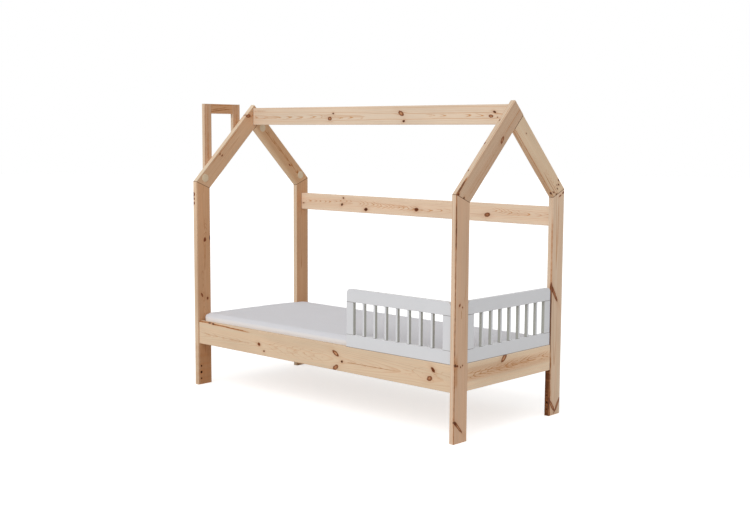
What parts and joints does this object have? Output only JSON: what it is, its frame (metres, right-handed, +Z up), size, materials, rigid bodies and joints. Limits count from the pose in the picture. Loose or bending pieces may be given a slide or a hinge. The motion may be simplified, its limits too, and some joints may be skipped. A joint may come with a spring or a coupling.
{
  "type": "toddler bed",
  "caption": "Toddler bed framed as a small open house in pine planks, with a chimney, white slatted guards at the foot end, a slat base and a lift-out mattress.",
  "frame": {"origin": "on the floor, at the middle of the bed's footprint", "axes": "+X along the bed towards the foot end, +Y across it towards the rear, +Z up"},
  "size_m": [1.698, 0.768, 1.41],
  "materials": {
    "pine": "planed and clear oiled",
    "white_paint": "satin white paint",
    "cap_plastic": "moulded, wood tone",
    "steel": "zinc plated",
    "beech": "fluted, raw",
    "mattress_cover": "white knitted cover",
    "webbing": "woven tape"
  },
  "bodies": {
    "frame": {"post_front_head": "pine", "post_rear_head": "pine", "post_front_foot": "pine", "post_rear_foot": "pine", "rafter_front_head": "pine", "rafter_rear_head": "pine", "rafter_front_foot": "pine", "rafter_rear_foot": "pine", "ridge_beam": "pine", "rear_upper_rail": "pine", "side_rail_front": "pine", "side_rail_rear": "pine", "end_rail_head": "pine", "end_rail_foot": "pine", "slat_ledge_front": "pine", "slat_ledge_rear": "pine", "slat_01": "pine", "slat_02": "pine", "slat_03": "pine", "slat_04": "pine", "slat_05": "pine", "slat_06": "pine", "slat_07": "pine", "slat_08": "pine", "slat_09": "pine", "slat_10": "pine", "slat_11": "pine", "slat_12": "pine", "slat_13": "pine", "slat_14": "pine", "slat_strap_front": "webbing", "slat_strap_rear": "webbing", "chimney_stile_front": "pine", "chimney_stile_rear": "pine", "chimney_crosspiece": "pine", "guard_front_bottom_rail": "white_paint", "guard_front_top_rail": "white_paint", "guard_front_stile_left": "white_paint", "guard_front_stile_right": "white_paint", "guard_front_balusters": "white_paint", "guard_end_bottom_rail": "white_paint", "guard_end_top_rail": "white_paint", "guard_end_stile_left": "white_paint", "guard_end_stile_right": "white_paint", "guard_end_balusters": "white_paint", "connector_bolts": "steel", "saddle_nuts": "steel", "dowels": "beech", "guard_dowels": "beech", "cover_caps": "cap_plastic"},
    "mattress": {"mattress": "mattress_cover"}
  },
  "joints": [
    {"name": "mattress_lift", "type": "slide", "parent": "frame", "child": "mattress", "axis": [0, 0, 1], "range_m": [0, 0.4]}
  ]
}
